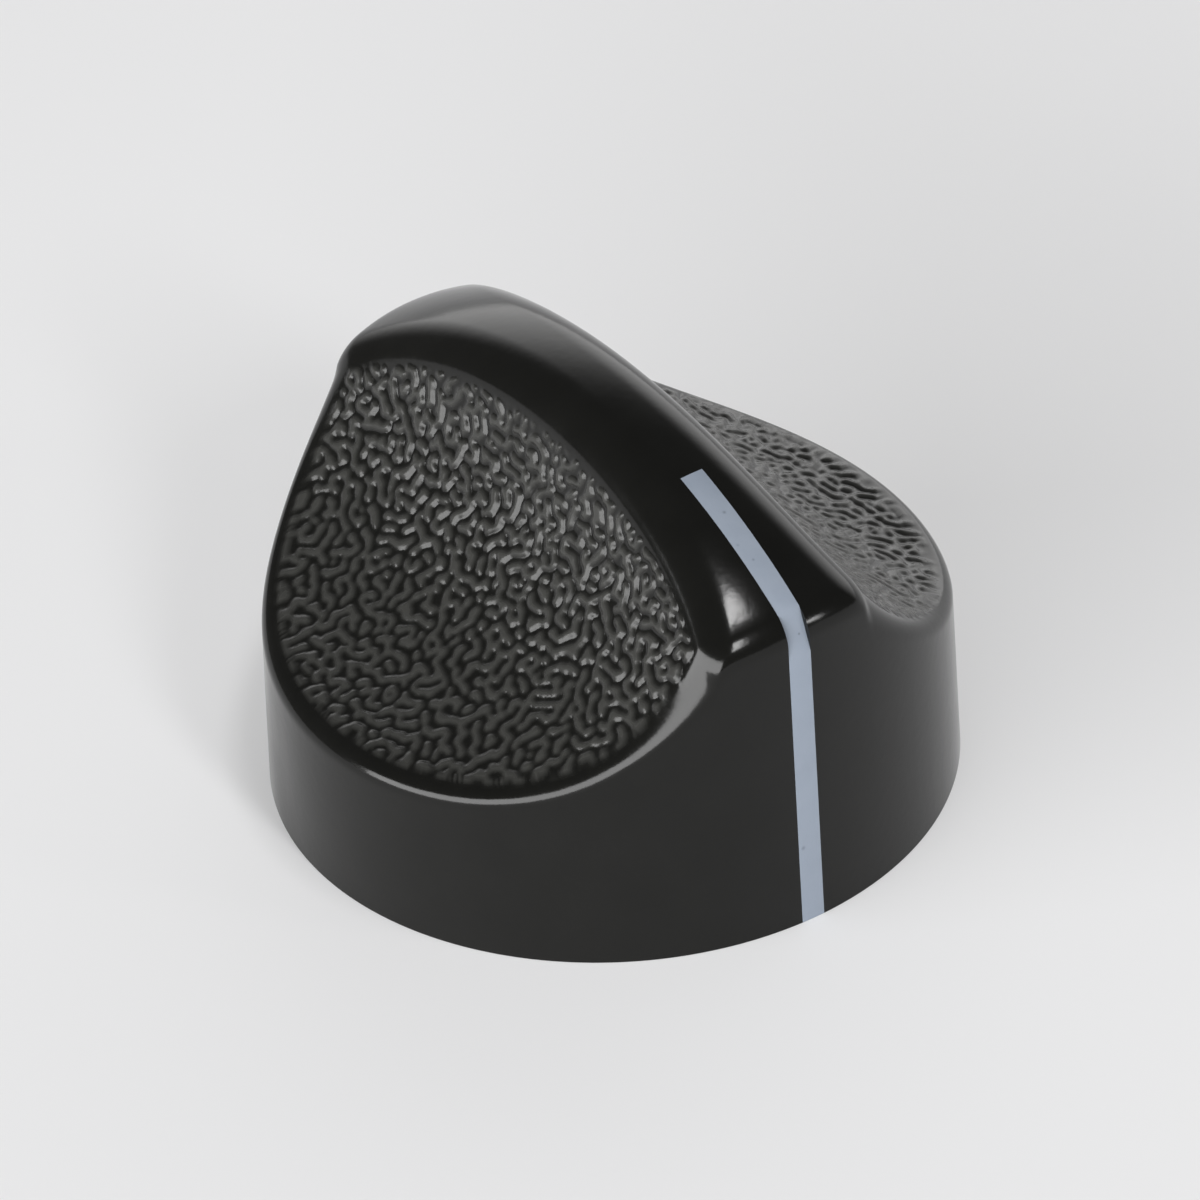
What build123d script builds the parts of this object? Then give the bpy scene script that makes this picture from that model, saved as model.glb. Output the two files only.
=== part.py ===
from build123d import *

import os

# Range hood knob: one moulding, with a pointer line filled into a shallow groove.
# The origin is the centre of the base plane. The grip bar lies along Y with its
# pointer end towards -Y, and the two finger scoops open towards -X and +X.

# Skirt
base_diameter = 28.0
skirt_draft = 0.15  # degrees off vertical

# Finger scoops, and the grip bar left between them
scoop_radius = 13.4
scoop_floor = 7.15  # height of the scoops' lowest line
grip_web = 4.5  # closest distance between the two scoop cylinders
crown_height = 19.0
crown_radius = 24.5  # along the bar
crown_arch_radius = 14.0  # across the bar
grip_round = 2.0  # rounded shoulders of the bar
rim_bevel = 0.4  # edge between the skirt and everything above it

# Hollow underside
wall = 1.8
core_height = 12.0
core_draft = 0.5  # degrees off vertical
hub_diameter = 9.6
hub_recess = 0.5
rib_thickness = 1.2
rib_recess = 1.5
rib_count = 4

# Socket for a shaft with one flat
shaft_diameter = 6.0
shaft_across_flat = 4.5
shaft_clearance = 0.1
mouth_clearance = 0.3  # all round the shaft
mouth_depth = 5.0
socket_depth = 12.0

# Pointer line
pointer_width = 1.06
pointer_depth = 0.25
pointer_start = 6.7  # distance from the knob's axis to the line's inner end

# Sizes that follow
base_radius = base_diameter / 2
scoop_axis_x = grip_web / 2 + scoop_radius
scoop_axis_z = scoop_floor + scoop_radius
crown_arch_fall = crown_arch_radius / 3  # the arch ends this far below the crown


def crowned_skirt(inset):
    """Round skirt under the bar's arched crown, with both surfaces moved in by inset."""
    with BuildPart() as form:
        with BuildSketch():
            Circle(base_radius - inset)
        extrude(amount=base_diameter, taper=skirt_draft)
        with BuildSketch(Plane.XZ):
            with Locations((0, crown_height - crown_arch_fall)):
                Rectangle(base_diameter, base_diameter, align=(Align.CENTER, Align.MIN))
            with Locations((0, crown_height - crown_arch_radius)):
                Circle(crown_arch_radius - inset, mode=Mode.SUBTRACT)
        bar_curve_axis = Axis((0, 0, crown_height - crown_radius), (1, 0, 0))
        revolve(axis=bar_curve_axis, mode=Mode.SUBTRACT)
    return form.part


def scoop_cylinders(radius):
    """The two cylinders beside the bar, on the finger scoops' axes."""
    with BuildPart() as cylinders:
        with BuildSketch(Plane.XZ):
            with Locations((-scoop_axis_x, scoop_axis_z), (scoop_axis_x, scoop_axis_z)):
                Circle(radius)
        extrude(amount=base_diameter, both=True)
    return cylinders.part


# Outer form: scooped on both sides, with rounded shoulders on the bar and a bevelled rim
with BuildPart() as blank:
    add(crowned_skirt(0))
    add(scoop_cylinders(scoop_radius), mode=Mode.SUBTRACT)
    shoulders = blank.edges(Select.LAST).sort_by(Axis.Z)[-2:]
    fillet(shoulders, radius=grip_round)
    skirt = blank.faces().sort_by(SortBy.AREA)[-1]
    upper_rim = skirt.edges().filter_by(GeomType.LINE, reverse=True).sort_by(Axis.Z)[1:]
    chamfer(upper_rim, length=rim_bevel)

# Core: the hollow below, which follows the scoops a wall's thickness under them
with BuildPart() as core:
    with BuildSketch():
        Circle(base_radius - wall)
    extrude(amount=core_height, taper=core_draft)
    add(scoop_cylinders(scoop_radius + wall), mode=Mode.SUBTRACT)
    with BuildSketch(Plane.XY.offset(hub_recess)):
        Circle(hub_diameter / 2)
    extrude(amount=core_height, mode=Mode.SUBTRACT)
    with BuildSketch(Plane.XY.offset(rib_recess)):
        with PolarLocations(0, rib_count):
            Rectangle(base_radius, rib_thickness, align=(Align.MIN, Align.CENTER))
    extrude(amount=core_height, mode=Mode.SUBTRACT)

# Socket: a wider round mouth, then the part with the flat that takes the turn
with BuildPart() as socket:
    socket_radius = (shaft_diameter + shaft_clearance) / 2
    with BuildSketch(Plane.XY.offset(hub_recess)):
        Circle(shaft_diameter / 2 + mouth_clearance)
    extrude(amount=mouth_depth)
    with BuildSketch(Plane.XY.offset(hub_recess + mouth_depth)):
        Circle(socket_radius)
        with Locations((0, shaft_across_flat + shaft_clearance - socket_radius)):
            Rectangle(
                shaft_diameter * 2,
                shaft_diameter,
                align=(Align.CENTER, Align.MIN),
                mode=Mode.SUBTRACT,
            )
    extrude(amount=socket_depth - mouth_depth)

# Groove: over the bar's pointer end and down the skirt
with BuildPart() as groove:
    with BuildSketch():
        with Locations((0, -pointer_start)):
            Rectangle(pointer_width, base_radius, align=(Align.CENTER, Align.MAX))
    extrude(amount=base_diameter)
    add(crowned_skirt(pointer_depth), mode=Mode.SUBTRACT)

with BuildPart() as knob_body:
    add(blank.part)
    add(core.part, mode=Mode.SUBTRACT)
    add(socket.part, mode=Mode.SUBTRACT)
    add(groove.part, mode=Mode.SUBTRACT)

with BuildPart() as pointer_line:
    add(blank.part)
    add(groove.part, mode=Mode.INTERSECT)

os.makedirs("parts", exist_ok=True)
knob_body.part.label = "knob_body"
export_step(knob_body.part, "parts/knob_body.step")
pointer_line.part.label = "pointer_line"
export_step(pointer_line.part, "parts/pointer_line.step")
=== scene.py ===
"""Range hood knob: a black moulding with leather grain in its finger scoops and a painted pointer line."""

import logging
import math
from dataclasses import dataclass, field
from enum import Enum

import bpy
import numpy as np
from mathutils import Matrix, Vector
from mathutils.geometry import delaunay_2d_cdt


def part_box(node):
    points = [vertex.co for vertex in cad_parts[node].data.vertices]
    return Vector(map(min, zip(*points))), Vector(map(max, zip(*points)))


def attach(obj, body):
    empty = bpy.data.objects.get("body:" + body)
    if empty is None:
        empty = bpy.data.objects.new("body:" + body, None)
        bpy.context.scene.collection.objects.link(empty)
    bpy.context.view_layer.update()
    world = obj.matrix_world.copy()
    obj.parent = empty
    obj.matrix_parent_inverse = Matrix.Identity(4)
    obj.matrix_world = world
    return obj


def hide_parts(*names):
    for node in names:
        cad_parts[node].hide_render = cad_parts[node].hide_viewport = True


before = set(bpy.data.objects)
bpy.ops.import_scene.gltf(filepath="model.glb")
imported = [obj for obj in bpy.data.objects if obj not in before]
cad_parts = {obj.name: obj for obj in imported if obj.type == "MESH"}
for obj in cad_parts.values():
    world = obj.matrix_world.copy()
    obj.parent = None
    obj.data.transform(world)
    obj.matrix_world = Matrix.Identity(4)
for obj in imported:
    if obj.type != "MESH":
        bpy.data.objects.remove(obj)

LOG = logging.getLogger("range_hood_knob")
MM = 0.001  # metres in a millimetre

HALVINGS = 48  # steps of a search by halves, past the precision of the numbers
CLOUD_RANGE = (0.3, 0.7)  # where most of a cloudy noise lies

Surface = tuple[np.ndarray, np.ndarray]  # signed distances to a surface, and its outward normals
Tone = tuple[float, float, float]  # linear red, green and blue
Range = tuple[float, float]  # a lower and an upper end
Faces = list[tuple[int, ...]]  # vertex numbers of each face, outward side first
Piece = bpy.types.Object
Tree = bpy.types.NodeTree
Socket = bpy.types.NodeSocket
NodeValue = float | Socket  # a number, or the output that gives it


class Slot(Enum):
    """Material slots of the record that the pieces take their finish from."""

    PLASTIC = "knob_plastic"
    PAINT = "pointer_paint"


class GrainName(Enum):
    """Mesh attributes that carry the grain from the form to the node trees."""

    MASK = "grain_mask"
    COVER = "grain_cover"
    PATTERN = "grain_pattern"


# Form


def ramp(values: np.ndarray, low: float | np.ndarray, high: float | np.ndarray) -> np.ndarray:
    """Rises smoothly from 0 at low to 1 at high."""
    share = np.clip((values - low) / (high - low), 0, 1)
    return share * share * (3 - 2 * share)


@dataclass(frozen=True)
class KnobSizes:
    """The knob's driving sizes, in millimetres and degrees."""

    base_radius: float
    crown_height: float
    pointer_width: float
    pointer_start: float
    skirt_draft: float = 0.15
    scoop_radius: float = 13.4
    scoop_floor: float = 7.15
    grip_web: float = 4.5
    crown_radius: float = 24.5
    crown_arch_radius: float = 10.5
    grip_round: float = 2.0
    lip_round: float = 0.75
    end_round: float = 1.6
    lip_height: float = 9.5
    end_height: float = 14.5
    wall: float = 1.8
    core_height: float = 12.0
    core_draft: float = 0.5
    hub_radius: float = 4.8
    hub_recess: float = 0.5
    rib_thickness: float = 1.2
    rib_recess: float = 1.5
    mouth_radius: float = 3.3
    mouth_depth: float = 5.0
    socket_radius: float = 3.05
    socket_depth: float = 12.0
    socket_across_flat: float = 4.6
    pointer_depth: float = 0.25

    @classmethod
    def from_frame(cls) -> "KnobSizes":
        """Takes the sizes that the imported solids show.

        Returns:
            Sizes whose box is the solids' own box.
        """
        body_low, body_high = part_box("knob_body")
        line_low, line_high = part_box("pointer_line")
        return cls(
            base_radius=body_high.x / MM,
            crown_height=body_high.z / MM,
            pointer_width=(line_high.x - line_low.x) / MM,
            pointer_start=-line_high.y / MM,
        )

    @property
    def scoop_axis_x(self) -> float:
        """Distance of a scoop's axis from the knob's middle plane."""
        return self.grip_web / 2 + self.scoop_radius

    @property
    def scoop_axis_z(self) -> float:
        """Height of the scoops' axes."""
        return self.scoop_floor + self.scoop_radius


class KnobForm:
    """The knob's outer surface as rounded corners between skirt, crown and scoops."""

    def __init__(self, sizes: KnobSizes) -> None:
        """Keeps the sizes.

        Args:
            sizes: The knob's driving sizes.
        """
        self.sizes = sizes

    def skirt(self, points: np.ndarray) -> Surface:
        """Gives the drafted skirt.

        Args:
            points: Points in millimetres, one per row.

        Returns:
            Distances and normals at the points.
        """
        slope = math.radians(self.sizes.skirt_draft)
        radius = np.maximum(np.hypot(points[:, 0], points[:, 1]), 1e-9)
        wall = self.sizes.base_radius - points[:, 2] * math.tan(slope)
        outward = points[:, :2] / radius[:, None] * math.cos(slope)
        normals = np.column_stack([outward, np.full(len(points), math.sin(slope))])
        return (radius - wall) * math.cos(slope), normals

    def crown(self, points: np.ndarray) -> Surface:
        """Gives the bar's crown, curved along the bar and arched across it.

        Args:
            points: Points in millimetres, one per row.

        Returns:
            Distances and normals at the points.
        """
        arch = self.sizes.crown_arch_radius
        arch_end = arch * math.sqrt(5) / 3
        rise = points[:, 2] - self.sizes.crown_height + self.sizes.crown_radius
        turn = np.maximum(np.hypot(points[:, 1], rise), 1e-9)
        across = np.clip(points[:, 0], -arch_end, arch_end)
        above = turn - self.sizes.crown_radius + arch
        upper = np.maximum(above, 0)
        reach = np.maximum(np.hypot(across, upper), 1e-9)
        normals = np.column_stack([across, upper * points[:, 1] / turn, upper * rise / turn])
        return reach - arch + np.minimum(above, 0), normals / reach[:, None]

    def scoops(self, points: np.ndarray) -> Surface:
        """Gives the two finger scoops.

        Args:
            points: Points in millimetres, one per row.

        Returns:
            Distances and normals at the points.
        """
        side = np.where(points[:, 0] < 0, -1.0, 1.0)
        across = np.abs(points[:, 0]) - self.sizes.scoop_axis_x
        above = points[:, 2] - self.sizes.scoop_axis_z
        reach = np.maximum(np.hypot(across, above), 1e-9)
        normals = np.column_stack([-side * across, np.zeros(len(points)), -above])
        return self.sizes.scoop_radius - reach, normals / reach[:, None]

    @staticmethod
    def setback(first: Surface, second: Surface, radius: float | np.ndarray) -> np.ndarray:
        """Gives how far below either surface a round between the two begins."""
        return radius * (1 - (first[1] * second[1]).sum(axis=1))

    @staticmethod
    def rounded(first: Surface, second: Surface, radius: float | np.ndarray) -> Surface:
        """Joins two surfaces with a round of the given radius along their edge.

        Args:
            first: One surface.
            second: The other surface.
            radius: Radius of the round in millimetres.

        Returns:
            Distances and normals of the joined surface.
        """
        (near, near_normals), (far, far_normals) = first, second
        setback = KnobForm.setback(first, second, radius)
        near_in = np.maximum(near + setback, 0)
        far_in = np.maximum(far + setback, 0)
        distances = np.minimum(np.maximum(near, far), -setback) + np.hypot(near_in, far_in)
        reach = setback + 1e-6
        share = ramp(near - far, -reach, reach)[:, None]
        normals = share * near_normals + (1 - share) * far_normals
        return distances, normals / np.maximum(np.linalg.norm(normals, axis=1, keepdims=True), 1e-9)

    def top(self, points: np.ndarray) -> Surface:
        """Gives the crown and scoops with the bar's rounded shoulders between them."""
        return self.rounded(self.scoops(points), self.crown(points), self.sizes.grip_round)

    def rim_round(self, points: np.ndarray) -> np.ndarray:
        """Gives the rim's radius, which grows from the scoops' lips to the bar's ends.

        Args:
            points: Points in millimetres, one per row.

        Returns:
            The radius at each point.
        """
        sizes = self.sizes
        growth = ramp(points[:, 2], sizes.lip_height, sizes.end_height)
        return sizes.lip_round + (sizes.end_round - sizes.lip_round) * growth

    def outer(self, points: np.ndarray) -> Surface:
        """Gives the whole outer surface, with the rounded rim."""
        return self.rounded(self.top(points), self.skirt(points), self.rim_round(points))

    def cast(
        self, starts: np.ndarray, directions: np.ndarray, level: float = 0.0, reach: float = 30.0
    ) -> np.ndarray:
        """Goes from points inside the form to a level of its outer surface.

        Args:
            starts: Points inside the form in millimetres.
            directions: Unit directions, one per start.
            level: Distance outside the surface at which to stop.
            reach: A distance that is past the surface.

        Returns:
            The points where the rays meet that level.
        """
        inside = np.zeros(len(starts))
        outside = np.full(len(starts), reach)
        for _ in range(HALVINGS):
            middle = (inside + outside) / 2
            past = self.outer(starts + directions * middle[:, None])[0] > level
            outside = np.where(past, middle, outside)
            inside = np.where(past, inside, middle)
        return starts + directions * inside[:, None]

    def height(self, plan: np.ndarray) -> np.ndarray:
        """Lifts plan points to the outer surface.

        Args:
            plan: Points seen from above, in millimetres.

        Returns:
            The same points on the surface.
        """
        starts = np.column_stack([plan, np.zeros(len(plan))])
        return self.cast(starts, np.broadcast_to((0.0, 0.0, 1.0), starts.shape))


# Meshes


def new_piece(name: str, points: np.ndarray, faces: Faces) -> Piece:
    """Makes a mesh object at the origin.

    Args:
        name: The piece's name.
        points: Vertices in millimetres.
        faces: Vertex numbers of each face, outward side first.

    Returns:
        The linked object, with its mesh in metres.
    """
    mesh = bpy.data.meshes.new(name)
    mesh.from_pydata((np.asarray(points) * MM).tolist(), [], faces)
    mesh.validate()
    piece = bpy.data.objects.new(name, mesh)
    bpy.context.scene.collection.objects.link(piece)
    return piece


def turned_solid(name: str, profile: list[tuple[float, float]], segments: int) -> Piece:
    """Turns a profile about the knob's axis into a closed solid.

    Args:
        name: The piece's name.
        profile: Radius and height pairs from the lowest to the highest.
        segments: Number of faces round the axis.

    Returns:
        The solid.
    """
    angles = np.arange(segments) * 2 * math.pi / segments
    ring = np.column_stack([np.cos(angles), np.sin(angles)])
    points = np.vstack([np.column_stack([ring * r, np.full(segments, z)]) for r, z in profile])
    faces: Faces = [tuple(range(segments - 1, -1, -1))]
    for row in range(len(profile) - 1):
        for i in range(segments):
            j = (i + 1) % segments
            low, high = row * segments, (row + 1) * segments
            faces.append((low + i, low + j, high + j, high + i))
    faces.append(tuple(range((len(profile) - 1) * segments, len(profile) * segments)))
    return new_piece(name, points, faces)


def prism(name: str, outline: list[tuple[float, float]], low: float, high: float) -> Piece:
    """Raises a plan outline into a closed solid.

    Args:
        name: The piece's name.
        outline: Plan points, anticlockwise seen from above.
        low: Height of the lower face.
        high: Height of the upper face.

    Returns:
        The solid.
    """
    count = len(outline)
    points = [(x, y, low) for x, y in outline] + [(x, y, high) for x, y in outline]
    faces: Faces = [tuple(range(count - 1, -1, -1)), tuple(range(count, 2 * count))]
    for i in range(count):
        j = (i + 1) % count
        faces.append((i, j, count + j, count + i))
    return new_piece(name, np.array(points), faces)


def cross_cylinder(name: str, x: float, z: float, radius: float, length: float) -> Piece:
    """Makes a cylinder along Y.

    Args:
        name: The piece's name.
        x: Place of its axis across the knob.
        z: Height of its axis.
        radius: Its radius.
        length: Its length, half on each side of the middle.

    Returns:
        The solid.
    """
    segments = 256
    solid = turned_solid(name, [(radius, -length / 2), (radius, length / 2)], segments)
    place = Matrix.Translation((x * MM, 0, z * MM)) @ Matrix.Rotation(-math.pi / 2, 4, "X")
    solid.data.transform(place)
    return solid


def cut(piece: Piece, tools: list[Piece]) -> None:
    """Takes solids out of a piece and deletes them.

    Args:
        piece: The piece to cut.
        tools: The solids to take out, in order.
    """
    for tool in tools:
        modifier = piece.modifiers.new(tool.name, "BOOLEAN")
        modifier.operation = "DIFFERENCE"
        modifier.solver = "MANIFOLD"
        modifier.object = tool
    settle(piece)
    for tool in tools:
        mesh = tool.data
        bpy.data.objects.remove(tool)
        bpy.data.meshes.remove(mesh)


def settle(piece: Piece) -> None:
    """Turns a piece's modifiers into its plain mesh.

    Args:
        piece: The piece, whose modifiers are removed.
    """
    graph = bpy.context.evaluated_depsgraph_get()
    mesh = bpy.data.meshes.new_from_object(piece.evaluated_get(graph), depsgraph=graph)
    mesh.name = piece.name
    piece.modifiers.clear()
    old = piece.data
    piece.data = mesh
    bpy.data.meshes.remove(old)


def points_of(piece: Piece) -> np.ndarray:
    """Reads a piece's vertices.

    Args:
        piece: The piece.

    Returns:
        Its points in millimetres, one per row.
    """
    flat = np.empty(len(piece.data.vertices) * 3, np.float32)
    piece.data.vertices.foreach_get("co", flat)
    return flat.reshape(-1, 3).astype(float) / MM


# Node trees


def link(tree: Tree, source: Socket, target: Socket) -> None:
    """Joins two sockets of a tree."""
    tree.links.new(source, target)


def feed(tree: Tree, target: Socket, value: NodeValue | tuple[float, ...]) -> None:
    """Joins an input to an output, or sets its number or colour.

    Args:
        tree: The tree that holds the input.
        target: The input.
        value: The output, number or colour.
    """
    if isinstance(value, Socket):
        link(tree, value, target)
    else:
        target.default_value = value


def math_node(tree: Tree, operation: str, *values: NodeValue) -> Socket:
    """Adds a Math node.

    Args:
        tree: The tree to add it to.
        operation: The node's operation.
        values: Numbers or outputs for its inputs, in order.

    Returns:
        The node's output.
    """
    node = tree.nodes.new("ShaderNodeMath")
    node.operation = operation
    for socket, value in zip(node.inputs, values):
        feed(tree, socket, value)
    return node.outputs[0]


def map_range(
    tree: Tree,
    value: Socket,
    source: tuple[NodeValue, NodeValue],
    target: Range = (0.0, 1.0),
    smooth: bool = False,
) -> Socket:
    """Adds a node that maps one range of values to another.

    Args:
        tree: The tree to add it to.
        value: The output to map.
        source: The range that it is in.
        target: The range that it goes to.
        smooth: Whether the change is eased at both ends.

    Returns:
        The node's output.
    """
    node = tree.nodes.new("ShaderNodeMapRange")
    node.interpolation_type = "SMOOTHSTEP" if smooth else "LINEAR"
    link(tree, value, node.inputs["Value"])
    for name, limit in zip(("From Min", "From Max", "To Min", "To Max"), (*source, *target)):
        feed(tree, node.inputs[name], limit)
    return node.outputs["Result"]


def mix_tones(tree: Tree, factor: Socket, first: Tone | Socket, second: Tone) -> Socket:
    """Adds a colour mix.

    Args:
        tree: The tree to add it to.
        factor: Share of the second colour.
        first: A colour or the output that gives it.
        second: The other colour.

    Returns:
        The mixed colour.
    """
    node = tree.nodes.new("ShaderNodeMix")
    node.data_type = "RGBA"
    near, far = (s for s in node.inputs if s.type == "RGBA")
    link(tree, factor, node.inputs["Factor"])
    feed(tree, near, first if isinstance(first, Socket) else (*first, 1.0))
    feed(tree, far, (*second, 1.0))
    return next(s for s in node.outputs if s.type == "RGBA")


@dataclass(frozen=True)
class ScoopGrain:
    """Leather grain: short worm-like ridges that crowd each other, as deep as a fine etched mould."""

    seed: int = 7
    rounds: int = 4
    ridge_spread: int = 1
    gap_spread: int = 7
    contrast: float = 6.0
    ridge_limit: float = 0.95
    relief: float = 0.1
    surface_band: Range = (0.004, 0.02)
    cover: float = -0.1
    edge_cover: float = -0.42
    edge_width: float = 1.3
    edge_softness: float = 0.3

    def tree(self) -> bpy.types.GeometryNodeTree:
        """Builds the Geometry Nodes tree that raises the ridges.

        Noise at each vertex is sharpened again and again by the difference of a narrow and a wide
        blur, until ridges of one width are left.

        Returns:
            The tree, with named inputs for its sizes.
        """
        tree = bpy.data.node_groups.new("scoop_grain", "GeometryNodeTree")
        tree.is_modifier = True
        face = tree.interface
        face.new_socket("Geometry", in_out="INPUT", socket_type="NodeSocketGeometry")
        for name, kind in (
            ("Seed", "NodeSocketInt"),
            ("Rounds", "NodeSocketInt"),
            ("Ridge Spread", "NodeSocketInt"),
            ("Gap Spread", "NodeSocketInt"),
            ("Contrast", "NodeSocketFloat"),
            ("Relief", "NodeSocketFloat"),
            ("Material", "NodeSocketMaterial"),
        ):
            face.new_socket(name, in_out="INPUT", socket_type=kind)
        face.new_socket("Geometry", in_out="OUTPUT", socket_type="NodeSocketGeometry")
        new = tree.nodes.new
        start = new("NodeGroupInput")
        finish = new("NodeGroupOutput")

        noise = new("ShaderNodeTexWhiteNoise")
        noise.noise_dimensions = "4D"
        link(tree, new("GeometryNodeInputPosition").outputs[0], noise.inputs["Vector"])
        link(tree, start.outputs["Seed"], noise.inputs["W"])
        centred = math_node(tree, "MULTIPLY_ADD", noise.outputs["Value"], 2.0, -1.0)
        sown = self.store(tree, start.outputs["Geometry"], centred)

        begin = new("GeometryNodeRepeatInput")
        end = new("GeometryNodeRepeatOutput")
        begin.pair_with_output(end)
        link(tree, start.outputs["Rounds"], begin.inputs["Iterations"])
        link(tree, sown, begin.inputs["Geometry"])
        pattern = self.read(tree, GrainName.PATTERN)
        narrow = self.blur(tree, pattern, start.outputs["Ridge Spread"])
        wide = self.blur(tree, pattern, start.outputs["Gap Spread"])
        difference = math_node(tree, "SUBTRACT", narrow, wide)
        sharper = math_node(
            tree, "MULTIPLY_ADD", difference, start.outputs["Contrast"], self.read(tree, GrainName.COVER)
        )
        bounded = math_node(tree, "MINIMUM", math_node(tree, "MAXIMUM", sharper, -1.0), 1.0)
        link(tree, self.store(tree, begin.outputs["Geometry"], bounded), end.inputs["Geometry"])

        softened = self.blur(tree, self.read(tree, GrainName.PATTERN), start.outputs["Ridge Spread"])
        ridge = map_range(tree, softened, (-self.ridge_limit, self.ridge_limit), smooth=True)
        masked = math_node(tree, "MULTIPLY", ridge, self.read(tree, GrainName.MASK))
        kept = self.store(tree, end.outputs["Geometry"], masked)
        lift = math_node(tree, "MULTIPLY", self.read(tree, GrainName.PATTERN), start.outputs["Relief"])
        offset = new("ShaderNodeVectorMath")
        offset.operation = "SCALE"
        link(tree, new("GeometryNodeInputNormal").outputs[0], offset.inputs[0])
        link(tree, lift, offset.inputs["Scale"])
        moved = new("GeometryNodeSetPosition")
        link(tree, kept, moved.inputs["Geometry"])
        link(tree, offset.outputs[0], moved.inputs["Offset"])

        real = new("GeometryNodeRealizeInstances")
        dressed = new("GeometryNodeSetMaterial")
        link(tree, moved.outputs["Geometry"], real.inputs["Geometry"])
        link(tree, real.outputs["Geometry"], dressed.inputs["Geometry"])
        link(tree, start.outputs["Material"], dressed.inputs["Material"])
        link(tree, dressed.outputs["Geometry"], finish.inputs["Geometry"])
        return tree

    @staticmethod
    def read(tree: Tree, name: GrainName) -> Socket:
        """Adds a node that reads one of the grain's attributes.

        Args:
            tree: The tree to add it to.
            name: The attribute.

        Returns:
            The node's output.
        """
        node = tree.nodes.new("GeometryNodeInputNamedAttribute")
        node.data_type = "FLOAT"
        node.inputs["Name"].default_value = name.value
        return node.outputs["Attribute"]

    @staticmethod
    def store(tree: Tree, geometry: Socket, value: Socket) -> Socket:
        """Adds a node that writes the pattern attribute.

        Args:
            tree: The tree to add it to.
            geometry: The mesh to write it on.
            value: The pattern.

        Returns:
            The node's geometry.
        """
        node = tree.nodes.new("GeometryNodeStoreNamedAttribute")
        node.data_type = "FLOAT"
        node.domain = "POINT"
        node.inputs["Name"].default_value = GrainName.PATTERN.value
        link(tree, geometry, node.inputs["Geometry"])
        link(tree, value, node.inputs["Value"])
        return node.outputs["Geometry"]

    @staticmethod
    def blur(tree: Tree, value: Socket, spread: Socket) -> Socket:
        """Adds a node that blurs a value over the mesh.

        Args:
            tree: The tree to add it to.
            value: The value.
            spread: How many times it is blurred.

        Returns:
            The node's output.
        """
        node = tree.nodes.new("GeometryNodeBlurAttribute")
        node.data_type = "FLOAT"
        link(tree, value, node.inputs["Value"])
        link(tree, spread, node.inputs["Iterations"])
        return node.outputs["Value"]

    def raise_on(self, piece: Piece, material: bpy.types.Material) -> None:
        """Raises the ridges on a piece that has the mask and cover attributes.

        Args:
            piece: The piece, which gets a plain new mesh.
            material: The piece's material.
        """
        tree = self.tree()
        modifier = piece.modifiers.new("scoop_grain", "NODES")
        modifier.node_group = tree
        values = {
            "Seed": self.seed,
            "Rounds": self.rounds,
            "Ridge Spread": self.ridge_spread,
            "Gap Spread": self.gap_spread,
            "Contrast": self.contrast,
            "Relief": self.relief * MM,
            "Material": material,
        }
        for item in tree.interface.items_tree:
            if item.in_out == "INPUT" and item.name in values:
                modifier[item.identifier] = values[item.name]
        settle(piece)


# Finishes


def mould_surface() -> bpy.types.ShaderNodeTree:
    """Builds the effect that both finishes share: the faint unevenness of a moulded or painted skin.

    Returns:
        A shader node group that gives a cloudy tone, small soft specks and a height.
    """
    group = bpy.data.node_groups.new("mould_surface", "ShaderNodeTree")
    face = group.interface
    for name in ("Cloud Scale", "Speck Scale", "Speck Size", "Peel Scale"):
        face.new_socket(name, in_out="INPUT", socket_type="NodeSocketFloat")
    for name in ("Cloud", "Specks", "Height"):
        face.new_socket(name, in_out="OUTPUT", socket_type="NodeSocketFloat")
    new = group.nodes.new
    start, finish, place = new("NodeGroupInput"), new("NodeGroupOutput"), new("ShaderNodeTexCoord")
    cloud, peel, specks = new("ShaderNodeTexNoise"), new("ShaderNodeTexNoise"), new("ShaderNodeTexVoronoi")
    cloud.inputs["Detail"].default_value = 4.0
    peel.inputs["Detail"].default_value = 2.0
    for texture, scale in ((cloud, "Cloud Scale"), (peel, "Peel Scale"), (specks, "Speck Scale")):
        link(group, place.outputs["Object"], texture.inputs["Vector"])
        link(group, start.outputs[scale], texture.inputs["Scale"])
    size = math_node(group, "MULTIPLY", specks.outputs["Color"], start.outputs["Speck Size"])
    dots = map_range(group, specks.outputs["Distance"], (size, 0.0), smooth=True)
    link(group, cloud.outputs["Fac"], finish.inputs["Cloud"])
    link(group, dots, finish.inputs["Specks"])
    link(group, peel.outputs["Fac"], finish.inputs["Height"])
    return group


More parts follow.
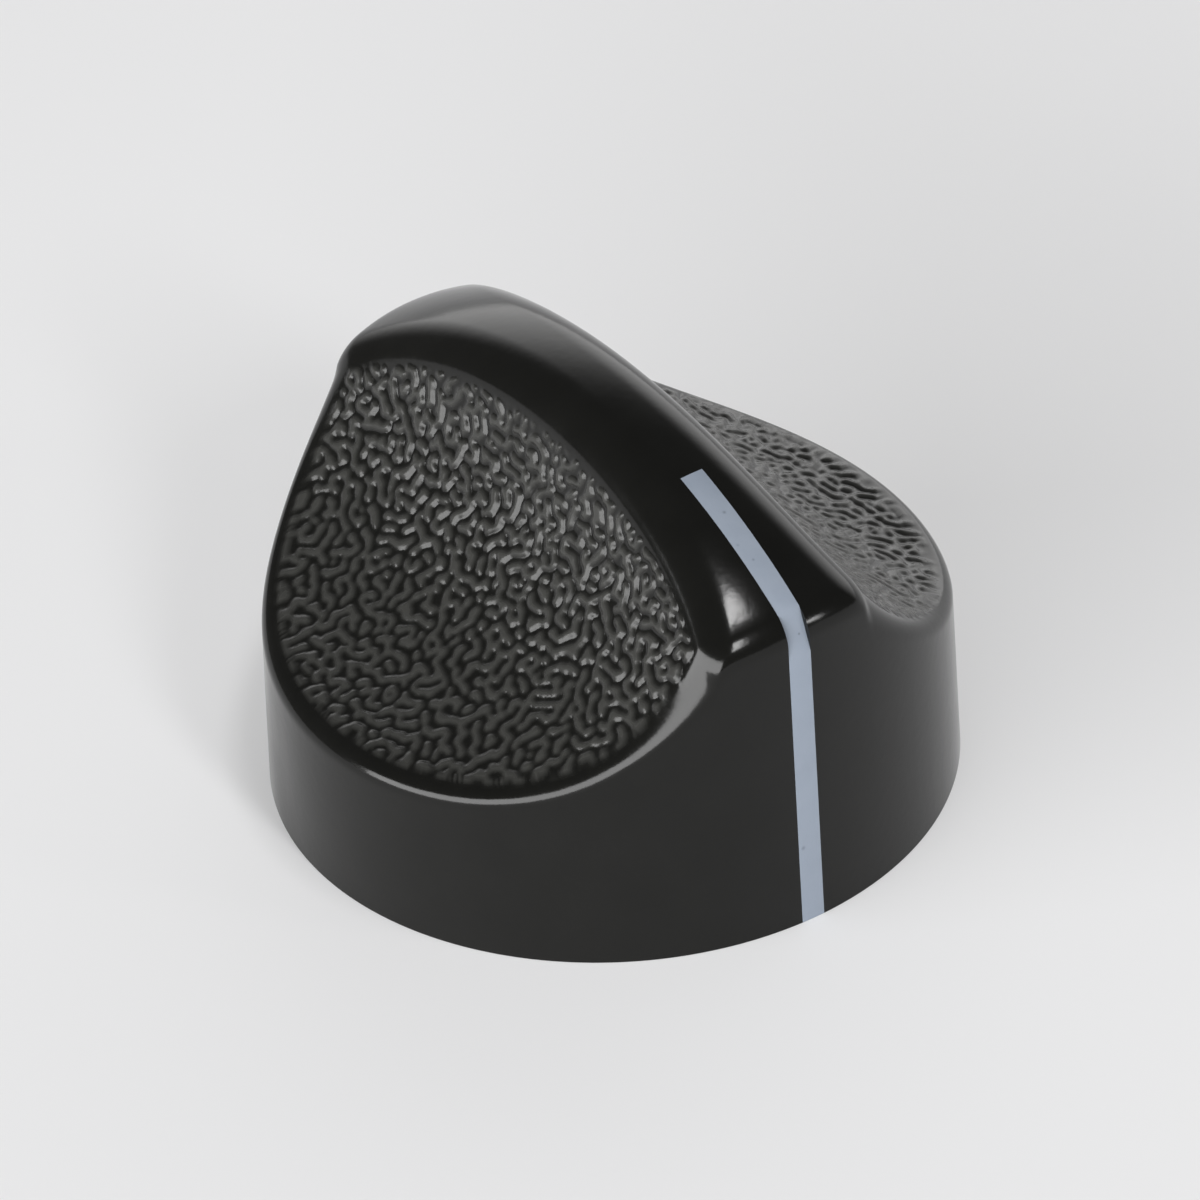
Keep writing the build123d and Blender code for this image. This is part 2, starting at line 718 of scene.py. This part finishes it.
@dataclass(frozen=True)
class Finish:
    """A moulded or painted skin that varies a little between two tones."""

    name: str
    tone: Tone
    pale_tone: Tone
    speck_tone: Tone
    gloss_roughness: float
    dull_roughness: float
    cloud_scale: float
    speck_scale: float
    speck_size: float
    peel_scale: float
    peel_depth: float
    specular: float

    def material(self, surface: bpy.types.ShaderNodeTree) -> bpy.types.Material:
        """Builds the material.

        Args:
            surface: The shared unevenness.

        Returns:
            The material.
        """
        material = bpy.data.materials.new(self.name)
        material.use_nodes = True
        tree = material.node_tree
        new = tree.nodes.new
        shader = tree.nodes["Principled BSDF"]
        shader.inputs["Specular IOR Level"].default_value = self.specular
        skin = new("ShaderNodeGroup")
        skin.node_tree = surface
        for name, value in (
            ("Cloud Scale", self.cloud_scale),
            ("Speck Scale", self.speck_scale),
            ("Speck Size", self.speck_size),
            ("Peel Scale", self.peel_scale),
        ):
            skin.inputs[name].default_value = value
        clouded = mix_tones(tree, skin.outputs["Cloud"], self.tone, self.pale_tone)
        specked = mix_tones(tree, skin.outputs["Specks"], clouded, self.speck_tone)
        gloss = (self.gloss_roughness, self.dull_roughness)
        rough = map_range(tree, skin.outputs["Cloud"], CLOUD_RANGE, gloss)
        # Painted sheen on the grain ridges and the ridges' rougher finish are added here.
        colour, roughness = self.painted_sheen_and_roughness(tree, specked, rough)
        link(tree, colour, shader.inputs["Base Color"])
        link(tree, roughness, shader.inputs["Roughness"])
        bump = new("ShaderNodeBump")
        bump.inputs["Strength"].default_value = 1.0
        bump.inputs["Distance"].default_value = self.peel_depth * MM
        link(tree, skin.outputs["Height"], bump.inputs["Height"])
        link(tree, bump.outputs["Normal"], shader.inputs["Normal"])
        return material

    def painted_sheen_and_roughness(self, tree: Tree, colour: Socket, roughness: Socket) -> tuple[Socket, Socket]:
        """Gives colour and roughness as they are, for a finish with no painted sheen or rougher ridges of its
        own.
        """
        return colour, roughness


@dataclass(frozen=True)
class GrainedFinish(Finish):
    """A skin whose grain ridges are a little rougher than the gaps between them, with painted sheen: the
    ridge tops are painted paler where light catches them.
    """

    # Painted sheen: the paler tone painted on the ridge tops where light catches them.
    ridge_painted_sheen_tone: Tone
    ridge_roughness: float

    def painted_sheen_and_roughness(self, tree: Tree, colour: Socket, roughness: Socket) -> tuple[Socket, Socket]:
        """Paints sheen on the ridges and makes them rougher.

        Args:
            tree: The material's tree.
            colour: Colour of the skin before the painted sheen.
            roughness: Roughness of the skin before the ridges are made rougher.

        Returns:
            Colour with the ridge tops painted paler as painted sheen, and roughness with the ridges rougher.
        """
        ridge = tree.nodes.new("ShaderNodeAttribute")
        ridge.attribute_name = GrainName.PATTERN.value
        ridge_roughness_mix = tree.nodes.new("ShaderNodeMix")
        link(tree, ridge.outputs["Fac"], ridge_roughness_mix.inputs["Factor"])
        link(tree, roughness, ridge_roughness_mix.inputs["A"])
        ridge_roughness_mix.inputs["B"].default_value = self.ridge_roughness
        # The ridge tops are painted paler here, as painted sheen where light catches them.
        return mix_tones(tree, ridge.outputs["Fac"], colour, self.ridge_painted_sheen_tone), ridge_roughness_mix.outputs["Result"]


KNOB_PLASTIC = GrainedFinish(
    name="knob_plastic",
    tone=(0.0035, 0.0035, 0.003),
    pale_tone=(0.006, 0.006, 0.0053),
    speck_tone=(0.014, 0.014, 0.013),
    gloss_roughness=0.12,
    dull_roughness=0.18,
    cloud_scale=420.0,
    speck_scale=500.0,
    speck_size=0.06,
    peel_scale=2600.0,
    peel_depth=0.004,
    specular=0.28,
    # Painted sheen: the ridge tops painted paler where light catches them.
    ridge_painted_sheen_tone=(0.034, 0.034, 0.0315),
    ridge_roughness=0.29,
)

POINTER_PAINT = Finish(
    name="pointer_paint",
    tone=(0.225, 0.262, 0.32),
    pale_tone=(0.262, 0.3, 0.36),
    speck_tone=(0.12, 0.14, 0.17),
    gloss_roughness=0.34,
    dull_roughness=0.5,
    cloud_scale=900.0,
    speck_scale=1500.0,
    speck_size=0.3,
    peel_scale=5000.0,
    peel_depth=0.006,
    specular=0.5,
)


# Pieces


@dataclass
class KnobBody:
    """The moulding: outer form, hollow underside, pointer groove and grained scoops."""

    sizes: KnobSizes
    form: KnobForm
    grain: ScoopGrain = field(default_factory=ScoopGrain)
    lattice_step: float = 0.117
    unroll_steps: int = 4000
    steepest_slant: float = 0.96
    crown_density: float = 0.3
    crown_band: Range = (0.3, 0.5)  # shares of the web where the density changes
    ring_gap: float = 0.6  # lattice steps between lattice and ring
    rim_columns: int = 720
    rim_rows: int = 16
    rim_evenness: float = 0.45
    wall_rows: int = 14
    rim_width: float = 1.05
    rim_reach: float = 8.0
    shading_angle: float = 62.0
    cutter_drop: float = 0.5
    cutter_rise: float = 1.0
    cutter_overlap: float = 0.2
    skirt_segments: int = 256
    hub_segments: int = 128
    socket_points: int = 97

    def build(self, groove: Piece) -> Piece:
        """Builds the moulding without its grain.

        Args:
            groove: The solid that the pointer's groove takes out.

        Returns:
            The piece.
        """
        piece = self.blank()
        cut(piece, [self.core(), *self.socket(), groove])
        piece.data.shade_smooth()
        piece.data.set_sharp_from_angle(angle=math.radians(self.shading_angle))
        return piece

    def dress(self, piece: Piece, material: bpy.types.Material) -> None:
        """Marks where the grain lies, raises it and gives the piece its finish.

        Args:
            piece: The moulding.
            material: Its material.
        """
        points = points_of(piece)
        scoops, crown, skirt = self.form.scoops(points), self.form.crown(points), self.form.skirt(points)
        below_bar = -crown[0] - self.form.setback(scoops, crown, self.sizes.grip_round)
        inside_rim = -skirt[0] - self.form.setback(scoops, skirt, self.form.rim_round(points))
        on_scoop = 1 - ramp(np.abs(scoops[0]), *self.grain.surface_band)
        mask = on_scoop * ramp(np.minimum(below_bar, inside_rim), 0.0, self.grain.edge_softness)
        full = ramp(below_bar, 0.0, self.grain.edge_width)
        cover = self.grain.edge_cover + (self.grain.cover - self.grain.edge_cover) * full
        for name, values in ((GrainName.MASK, mask), (GrainName.COVER, cover)):
            attribute = piece.data.attributes.new(name.value, "FLOAT", "POINT")
            attribute.data.foreach_set("value", values.astype(np.float32))
        self.grain.raise_on(piece, material)
        for name in (GrainName.MASK, GrainName.COVER):
            piece.data.attributes.remove(piece.data.attributes[name.value])

    def blank(self) -> Piece:
        """Builds the closed outer form with a flat underside.

        Returns:
            The blank.
        """
        top_points, top_faces = self.top_lattice()
        rim = self.rim_points(top_points[: self.rim_columns])
        count, columns = len(top_points), self.rim_columns
        points = np.vstack([top_points, rim.reshape(-1, 3), [(0.0, 0.0, 0.0)]])
        rows = [np.arange(columns)] + [count + r * columns + np.arange(columns) for r in range(len(rim))]
        faces: Faces = list(top_faces)
        for upper, lower in zip(rows, rows[1:]):
            for i in range(columns):
                j = (i + 1) % columns
                faces.append((upper[i], lower[i], lower[j], upper[j]))
        centre = len(points) - 1
        base = rows[-1]
        faces += [(base[i], centre, base[(i + 1) % columns]) for i in range(columns)]
        return new_piece("knob_body_form", points, faces)

    def top_lattice(self) -> tuple[np.ndarray, Faces]:
        """Covers the top with an even lattice, unrolled over the scoops' steep sides.

        Returns:
            Points on the surface, the rim's ring first, and their triangles.
        """
        sizes = self.sizes
        limit = sizes.base_radius - self.rim_width
        across = np.linspace(0.0, limit, self.unroll_steps)
        slant = np.clip((sizes.scoop_axis_x - across) / sizes.scoop_radius, 0.0, self.steepest_slant)
        stretch = 1 / np.sqrt(1 - slant * slant)
        past_crown = ramp(across, *(sizes.grip_web * share for share in self.crown_band))
        stretch *= self.crown_density + (1 - self.crown_density) * past_crown
        steps = np.diff(across) * (stretch[1:] + stretch[:-1]) / 2
        unrolled = np.concatenate([[0.0], np.cumsum(steps)])

        angles = np.arange(self.rim_columns) * 2 * math.pi / self.rim_columns
        ring = np.column_stack([np.cos(angles), np.sin(angles)]) * limit
        step_s, step_y = self.lattice_step * math.sqrt(3) / 2, self.lattice_step
        columns = np.arange(-int(unrolled[-1] / step_s), int(unrolled[-1] / step_s) + 1)
        rows = np.arange(-int(limit / step_y) - 1, int(limit / step_y) + 2)
        s, y = np.meshgrid(columns * step_s, rows * step_y, indexing="ij")
        y = y + (columns % 2)[:, None] * step_y / 2
        x = np.sign(s) * np.interp(np.abs(s), unrolled, across)
        kept = np.hypot(x, y) < limit - self.ring_gap * self.lattice_step
        inner = np.column_stack([x[kept], y[kept]])
        plan = np.vstack([ring, inner])
        ring_s = np.sign(ring[:, 0]) * np.interp(np.abs(ring[:, 0]), across, unrolled)
        flat = np.vstack([np.column_stack([ring_s, ring[:, 1]]), np.column_stack([s[kept], y[kept]])])
        edges = [(i, (i + 1) % self.rim_columns) for i in range(self.rim_columns)]
        _, _, faces, *_ = delaunay_2d_cdt([Vector(p) for p in flat], edges, [], 1, 1e-6, False)
        return self.form.height(plan), [tuple(f) for f in faces if self.inside_ring(f)]

    def inside_ring(self, face: list[int]) -> bool:
        """Tells a triangle within the rim's ring from one that bridges a hollow of it.

        Args:
            face: Vertex numbers, anticlockwise.

        Returns:
            Whether the triangle lies inside.
        """
        first = face.index(min(face))
        return max(face) >= self.rim_columns or face[first - 2] < face[first - 1]

    def rim_points(self, ring: np.ndarray) -> np.ndarray:
        """Carries the surface from the top's ring over the rounded rim and down the skirt.

        Args:
            ring: The top's outer ring.

        Returns:
            Rows of points, the last on the base plane.
        """
        sizes = self.sizes
        outward = ring[:, :2] / np.linalg.norm(ring[:, :2], axis=1, keepdims=True)
        edge = np.column_stack([outward * sizes.base_radius, np.zeros(len(ring))])
        upward = np.broadcast_to((0.0, 0.0, 1.0), edge.shape)
        low, high = np.zeros(len(edge)), np.full(len(edge), sizes.crown_height + 1)
        for _ in range(HALVINGS):
            middle = (low + high) / 2
            past = self.form.top(edge + upward * middle[:, None])[0] > 0
            high, low = np.where(past, middle, high), np.where(past, low, middle)
        corner_height = low - self.rim_width
        centres = np.column_stack([ring[:, :2], corner_height])
        rows = []
        for k in range(1, self.rim_rows + 1):
            share = 2 * k / self.rim_rows - 1
            bend = self.rim_evenness + (1 - self.rim_evenness) * share * share
            angle = math.pi / 4 * (1 - share * bend)
            direction = np.column_stack([outward * math.cos(angle), np.full(len(ring), math.sin(angle))])
            rows.append(self.form.cast(centres, direction, reach=self.rim_reach))
        level = np.column_stack([outward, np.zeros(len(ring))])
        for k in range(1, self.wall_rows + 1):
            height = corner_height * (1 - (k / self.wall_rows) ** 2)
            rows.append(self.form.cast(np.column_stack([ring[:, :2], height]), level, reach=self.rim_reach))
        return np.array(rows)

    def core(self) -> Piece:
        """Builds the hollow below, round the hub and the ribs.

        Returns:
            The solid to take out.
        """
        sizes = self.sizes
        below = -self.cutter_drop
        slope = math.tan(math.radians(sizes.core_draft))
        inner = sizes.base_radius - sizes.wall
        profile = [(inner - slope * below, below), (inner - slope * sizes.core_height, sizes.core_height)]
        core = turned_solid("core", profile, self.skirt_segments)
        tools = [
            cross_cylinder(
                f"scoop_wall_{name}",
                side * sizes.scoop_axis_x,
                sizes.scoop_axis_z,
                sizes.scoop_radius + sizes.wall,
                sizes.base_radius * 4,
            )
            for name, side in (("left", -1), ("right", 1))
        ]
        top = sizes.core_height + self.cutter_rise
        hub = [(sizes.hub_radius, sizes.hub_recess), (sizes.hub_radius, top)]
        tools.append(turned_solid("hub", hub, self.hub_segments))
        half, reach = sizes.rib_thickness / 2, sizes.base_radius
        for name, x, y in (("rib_across", reach, half), ("rib_along", half, reach)):
            tools.append(prism(name, [(-x, -y), (x, -y), (x, y), (-x, y)], sizes.rib_recess, top))
        cut(core, tools)
        return core

    def socket(self) -> list[Piece]:
        """Builds the shaft's socket.

        Returns:
            The round mouth and the part with the flat, to take out.
        """
        sizes = self.sizes
        mouth_top = sizes.hub_recess + sizes.mouth_depth
        profile = [(sizes.mouth_radius, -self.cutter_drop), (sizes.mouth_radius, mouth_top)]
        mouth = turned_solid("socket_mouth", profile, self.hub_segments)
        flat_y = sizes.socket_across_flat - sizes.socket_radius
        flat_angle = math.asin(flat_y / sizes.socket_radius)
        angles = np.linspace(math.pi - flat_angle, 2 * math.pi + flat_angle, self.socket_points)
        outline = [(sizes.socket_radius * math.cos(a), sizes.socket_radius * math.sin(a)) for a in angles]
        keyed_top = sizes.hub_recess + sizes.socket_depth
        keyed = prism("socket_flat", outline, mouth_top - self.cutter_overlap, keyed_top)
        return [mouth, keyed]


@dataclass
class PointerLine:
    """The painted line that fills the groove over the bar's end and down the skirt."""

    sizes: KnobSizes
    form: KnobForm
    across_steps: int = 10
    crown_steps: int = 64
    corner_steps: int = 26
    wall_steps: int = 40
    corner_width: float = 1.6
    edge_margin: float = 1e-3
    ray_depth: float = 1.0
    cutter_rise: float = 0.3
    shading_angle: float = 40.0

    def build(self) -> Piece:
        """Builds the line, flush with the surface.

        Returns:
            The piece.
        """
        piece = self.strip("pointer_line_paint", 0.0, 0.0)
        piece.data.shade_smooth()
        piece.data.set_sharp_from_angle(angle=math.radians(self.shading_angle))
        return piece

    def groove(self) -> Piece:
        """Builds the solid that the groove takes out of the body."""
        return self.strip("pointer_groove", self.cutter_rise, -self.cutter_rise)

    def strip(self, name: str, rise: float, foot: float) -> Piece:
        """Builds a closed strip that follows the surface along the pointer's path.

        Args:
            name: The piece's name.
            rise: How far its outer side stands off the surface.
            foot: Height of its lower end.

        Returns:
            The strip.
        """
        starts, directions = self.path(foot)
        across = np.linspace(-0.5, 0.5, self.across_steps + 1) * self.sizes.pointer_width
        steps, columns = len(starts), len(across)
        lines = np.repeat(starts, columns, axis=0)
        lines[:, 0] = np.tile(across, steps)
        ways = np.repeat(directions, columns, axis=0)
        outer = self.form.cast(lines, ways, level=rise)
        inner = self.form.cast(lines, ways, level=-self.sizes.pointer_depth)
        count = steps * columns
        faces: Faces = []
        for i in range(steps - 1):
            for j in range(columns - 1):
                a = i * columns + j
                b, c, d = a + 1, a + columns + 1, a + columns
                faces.append((a, d, c, b))
                faces.append((count + a, count + b, count + c, count + d))
        border = list(range(columns))
        border += [i * columns + columns - 1 for i in range(1, steps)]
        border += [(steps - 1) * columns + j for j in range(columns - 2, -1, -1)]
        border += [i * columns for i in range(steps - 2, 0, -1)]
        for a, b in zip(border, border[1:] + border[:1]):
            faces.append((a, b, count + b, count + a))
        return new_piece(name, np.vstack([outer, inner]), faces)

    def path(self, foot: float) -> tuple[np.ndarray, np.ndarray]:
        """Lays rays along the pointer's path, in the knob's middle plane.

        Args:
            foot: Height of the lower end.

        Returns:
            Starts inside the body and directions out of it, from the bar's top to the base.
        """
        corner_y = self.sizes.base_radius - self.corner_width
        end = self.form.height(np.array([(0.0, -self.sizes.base_radius + self.edge_margin)]))
        crown = self.form.height(np.array([(0.0, -corner_y)]))[0, 2]
        corner_z = min(crown - self.corner_width, end[0, 2])
        starts, directions = [], []
        for y in np.linspace(self.sizes.pointer_start, corner_y, self.crown_steps, endpoint=False):
            starts.append((0.0, -y, corner_z - self.ray_depth))
            directions.append((0.0, 0.0, 1.0))
        for angle in np.linspace(math.pi / 2, 0.0, self.corner_steps, endpoint=False):
            starts.append((0.0, -corner_y, corner_z))
            directions.append((0.0, -math.cos(angle), math.sin(angle)))
        for z in np.linspace(corner_z, foot, self.wall_steps):
            starts.append((0.0, -corner_y, z))
            directions.append((0.0, -1.0, 0.0))
        return np.array(starts), np.array(directions)

    def dress(self, piece: Piece, material: bpy.types.Material) -> None:
        """Gives the line its paint."""
        piece.data.materials.append(material)


# Studio


@dataclass(frozen=True)
class Softbox:
    """A rectangular soft light that faces the knob."""

    name: str
    azimuth: float
    elevation: float
    distance: float
    width: float
    height: float
    radiance: float

    def place(self, target: Vector) -> None:
        """Adds the light to the scene.

        Args:
            target: The point that it faces.
        """
        light = bpy.data.lights.new(self.name, "AREA")
        light.shape = "RECTANGLE"
        light.size, light.size_y = self.width, self.height
        light.energy = self.radiance * math.pi * self.width * self.height
        holder = bpy.data.objects.new(self.name, light)
        turn, rise = math.radians(self.azimuth), math.radians(self.elevation)
        away = Vector((math.sin(turn) * math.cos(rise), -math.cos(turn) * math.cos(rise), math.sin(rise)))
        facing = away.to_track_quat("Z", "Y").to_matrix().to_4x4()
        holder.matrix_world = Matrix.Translation(target + away * self.distance) @ facing
        bpy.context.scene.collection.objects.link(holder)


@dataclass
class Studio:
    """Pale floor, soft light and the camera at the photograph's angle."""

    azimuth: float = -33.1
    elevation: float = 36.74
    roll: float = 3.06
    distance: float = 1.9
    pixels_per_mm: float = 24.743
    frame_pixels: float = 1200.0
    aim_height: float = 7.0
    aim_pixel: tuple[float, float] = (607.5, 615.1)
    sensor: float = 36.0
    sight: float = 20.0
    floor_half: float = 3.0
    floor_drop: float = 0.02  # millimetres below the base
    floor_tone: Tone = (0.8, 0.8, 0.81)
    floor_roughness: float = 0.7
    floor_specular: float = 0.2
    floor_glow: float = 1.0
    floor_glow_share: float = 0.22
    room_tone: Tone = (1.0, 0.995, 0.99)
    room_light: float = 0.14
    wall_light: float = 1.9
    wall_azimuth: float = 130.0
    wall_facing: Range = (0.5, 0.95)  # cosines from the wall's azimuth
    wall_fade: Range = (18.0, 52.0)  # elevations
    softboxes: tuple[Softbox, ...] = (
        Softbox("side_window", -75.0, 12.5, 1.2, 2.1, 0.52, 8.8),
        Softbox("top_window", 10.0, 75.0, 1.2, 0.28, 0.1, 34.0),
        Softbox("front_strip", -5.0, 36.0, 1.2, 0.16, 0.4, 20.0),
        Softbox("front_lamp", 35.0, 12.0, 1.2, 0.16, 0.12, 18.0),
    )

    def build(self) -> None:
        """Sets up floor, world, lights and camera."""
        self.floor()
        self.world()
        for softbox in self.softboxes:
            softbox.place(Vector((0, 0, self.aim_height * MM)))
        self.camera()
        bpy.context.scene.view_settings.view_transform = "Standard"

    def floor(self) -> None:
        """Lays the floor under the knob."""
        half = self.floor_half / MM
        plan = [(-half, -half), (half, -half), (half, half), (-half, half)]
        floor = new_piece("floor", np.array([(x, y, -self.floor_drop) for x, y in plan]), [(0, 1, 2, 3)])
        material = bpy.data.materials.new("floor_paper")
        material.use_nodes = True
        tree = material.node_tree
        shader = tree.nodes["Principled BSDF"]
        shader.inputs["Base Color"].default_value = (*self.floor_tone, 1.0)
        shader.inputs["Roughness"].default_value = self.floor_roughness
        shader.inputs["Specular IOR Level"].default_value = self.floor_specular
        glow, mixed = tree.nodes.new("ShaderNodeEmission"), tree.nodes.new("ShaderNodeMixShader")
        glow.inputs["Strength"].default_value = self.floor_glow
        link(tree, self.seen_share(tree, self.floor_glow_share), mixed.inputs["Fac"])
        link(tree, shader.outputs["BSDF"], mixed.inputs[1])
        link(tree, glow.outputs["Emission"], mixed.inputs[2])
        link(tree, mixed.outputs["Shader"], tree.nodes["Material Output"].inputs["Surface"])
        floor.data.materials.append(material)

    @staticmethod
    def seen_share(tree: Tree, share: float) -> Socket:
        """Gives a share to rays that see the floor directly, in a gloss or through glass, and none to others.

        Args:
            tree: The floor material's tree.
            share: The share.

        Returns:
            The output that carries it.
        """
        path = tree.nodes.new("ShaderNodeLightPath")
        seen = path.outputs["Is Camera Ray"]
        for name in ("Is Glossy Ray", "Is Transmission Ray"):
            seen = math_node(tree, "MAXIMUM", seen, path.outputs[name])
        return math_node(tree, "MULTIPLY", seen, share)

    def world(self) -> None:
        """Makes a dim room with a pale wall behind the knob's right side."""
        world = bpy.data.worlds.new("studio_room")
        world.use_nodes = True
        tree = world.node_tree
        turn = math.radians(self.wall_azimuth)
        place, height = tree.nodes.new("ShaderNodeTexCoord"), tree.nodes.new("ShaderNodeSeparateXYZ")
        towards = tree.nodes.new("ShaderNodeVectorMath")
        towards.operation = "DOT_PRODUCT"
        towards.inputs[1].default_value = (math.sin(turn), -math.cos(turn), 0.0)
        link(tree, place.outputs["Generated"], towards.inputs[0])
        link(tree, place.outputs["Generated"], height.inputs["Vector"])
        facing = map_range(tree, towards.outputs["Value"], self.wall_facing, smooth=True)
        low, high = (math.sin(math.radians(a)) for a in self.wall_fade)
        low_down = map_range(tree, height.outputs["Z"], (low, high), (1.0, 0.0), smooth=True)
        pale = math_node(tree, "MULTIPLY", facing, low_down)
        strength = map_range(tree, pale, (0.0, 1.0), (self.room_light, self.wall_light))
        background = tree.nodes["Background"]
        background.inputs["Color"].default_value = (*self.room_tone, 1.0)
        link(tree, strength, background.inputs["Strength"])
        bpy.context.scene.world = world

    def camera(self) -> None:
        """Sets the camera where the photograph was taken from."""
        turn, rise, tilt = (math.radians(a) for a in (self.azimuth, self.elevation, self.roll))
        back = Vector((math.sin(turn) * math.cos(rise), -math.cos(turn) * math.cos(rise), math.sin(rise)))
        level = Vector((math.cos(turn), math.sin(turn), 0.0))
        upright = back.cross(level)
        right = level * math.cos(tilt) - upright * math.sin(tilt)
        up = level * math.sin(tilt) + upright * math.cos(tilt)
        middle = self.frame_pixels / 2
        shift_x = (middle - self.aim_pixel[0]) / self.pixels_per_mm * MM
        shift_y = (self.aim_pixel[1] - middle) / self.pixels_per_mm * MM
        target = Vector((0, 0, self.aim_height * MM)) + right * shift_x + up * shift_y
        data = bpy.data.cameras.new("camera")
        data.sensor_width = self.sensor
        data.lens = self.sensor * self.pixels_per_mm / MM * self.distance / self.frame_pixels
        data.clip_end = self.sight
        camera = bpy.data.objects.new("camera", data)
        axes = Matrix((right, up, back)).transposed().to_4x4()
        camera.matrix_world = Matrix.Translation(target + back * self.distance) @ axes
        bpy.context.scene.collection.objects.link(camera)
        bpy.context.scene.camera = camera


def hand_over(piece: Piece, node: str) -> None:
    """Parents a piece to the root body, hides the CAD node that it replaces, and reports its triangles.

    Args:
        piece: The finished piece.
        node: The CAD node that it replaces.
    """
    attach(piece, "root")
    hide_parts(node)
    piece.data.calc_loop_triangles()
    LOG.info("%s stands for %s: %d triangles", piece.name, node, len(piece.data.loop_triangles))


def main() -> None:
    """Builds the knob, its finishes and the studio."""
    logging.basicConfig(level=logging.INFO, format="%(message)s")
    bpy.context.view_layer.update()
    sizes = KnobSizes.from_frame()
    form = KnobForm(sizes)
    surface = mould_surface()

    line = PointerLine(sizes, form)
    body = KnobBody(sizes, form)
    body_piece = body.build(line.groove())
    body_piece.name = "knob_moulding"
    body.dress(body_piece, KNOB_PLASTIC.material(surface))
    hand_over(body_piece, "knob_body")

    line_piece = line.build()
    line.dress(line_piece, POINTER_PAINT.material(surface))
    hand_over(line_piece, "pointer_line")

    Studio().build()


if __name__ == "__main__":
    main()
